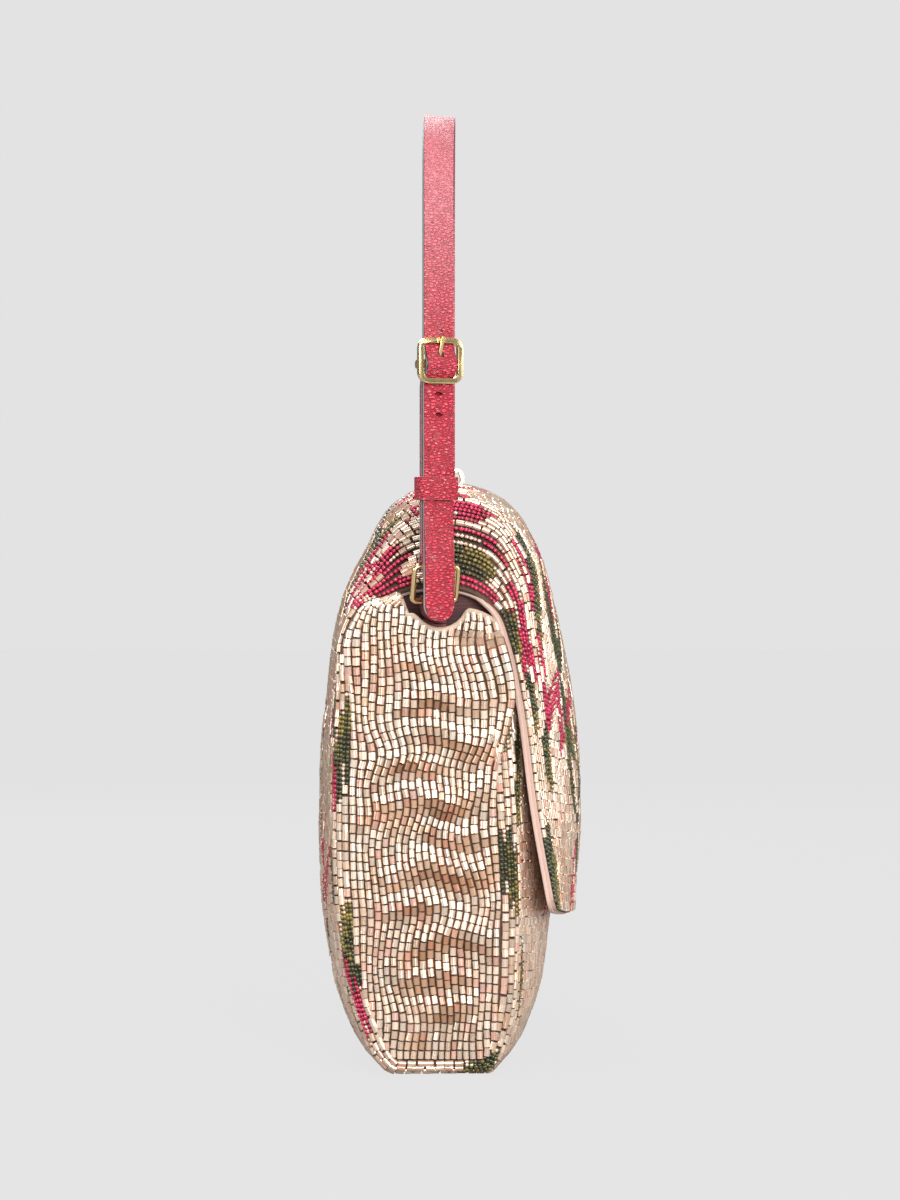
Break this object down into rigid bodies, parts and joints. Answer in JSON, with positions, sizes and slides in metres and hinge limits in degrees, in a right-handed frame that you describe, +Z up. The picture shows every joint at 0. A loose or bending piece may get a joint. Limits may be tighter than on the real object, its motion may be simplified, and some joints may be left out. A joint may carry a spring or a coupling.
{
  "type": "top handle bag",
  "caption": "Soft structured handbag with a front flap, a beaded cloth body and a buckled leather top handle that clips on with a snap hook.",
  "frame": {"origin": "middle of the flat base, on the surface it stands on", "axes": "+Z up, front with the flap towards -Y, buckle end of the handle towards -X"},
  "size_m": [0.2817, 0.093, 0.3333],
  "materials": {
    "beaded_cloth": "glass beads sewn close together on cloth",
    "red_leather": "grained leather with painted edges",
    "pink_leather": "smooth dusty pink leather",
    "tab_leather": "smooth burgundy leather",
    "lining_cloth": "woven lining cloth",
    "board": "stiff covered board",
    "snap_metal": "plated metal",
    "pale_gold": "polished pale gold plating"
  },
  "bodies": {
    "bag": {"back_panel": "beaded_cloth", "bottom_panel": "beaded_cloth", "front_panel": "beaded_cloth", "gusset_left": "beaded_cloth", "gusset_right": "beaded_cloth", "lining": "lining_cloth", "slip_pocket": "lining_cloth", "base_board": "board", "snap_body_half": "snap_metal", "ring_tab_left": "tab_leather", "ring_tab_right": "tab_leather"},
    "flap": {"flap_panel": "beaded_cloth", "flap_lining": "pink_leather", "snap_flap_half": "snap_metal"},
    "handle": {"handle_strap": "red_leather", "buckle_strap": "red_leather", "buckle_frame": "pale_gold", "buckle_bar": "pale_gold", "ring_left": "pale_gold", "ring_right": "pale_gold", "hook_eye": "pale_gold", "ring_loop_left": "tab_leather", "ring_loop_right": "tab_leather"},
    "keeper": {"keeper": "red_leather"},
    "tongue": {"buckle_tongue": "pale_gold"},
    "hook": {"hook_body": "pale_gold", "gate_pin": "pale_gold", "gate_spring": "pale_gold"},
    "gate": {"hook_gate": "pale_gold"}
  },
  "joints": [
    {"name": "flap_open", "type": "hinge", "parent": "bag", "child": "flap", "pos_m": [0, 0.0365, 0.152], "axis": [-1, 0, 0], "range_deg": [0, 125]},
    {"name": "handle_swing", "type": "hinge", "parent": "bag", "child": "handle", "pos_m": [0, 0, 0.1586], "axis": [1, 0, 0], "range_deg": [-95, 95]},
    {"name": "keeper_slide", "type": "slide", "parent": "handle", "child": "keeper", "axis": [0, 0, 1], "range_m": [-0.004, 0.01]},
    {"name": "tongue_pivot", "type": "hinge", "parent": "handle", "child": "tongue", "pos_m": [-0.13559, 0.00065, 0.2374], "axis": [0.4067, -0.9135, 0], "range_deg": [0, 12]},
    {"name": "hook_swivel", "type": "hinge", "parent": "handle", "child": "hook", "pos_m": [0.13345, 0, 0.203], "axis": [0, 0, 1], "range_deg": [-25, 25]},
    {"name": "gate_pivot", "type": "hinge", "parent": "hook", "child": "gate", "pos_m": [0.13765, 0, 0.188], "axis": [0, 1, 0], "range_deg": [0, 25], "stiffness_Nm_per_rad": 0.005, "springref_deg": -5.73}
  ]
}
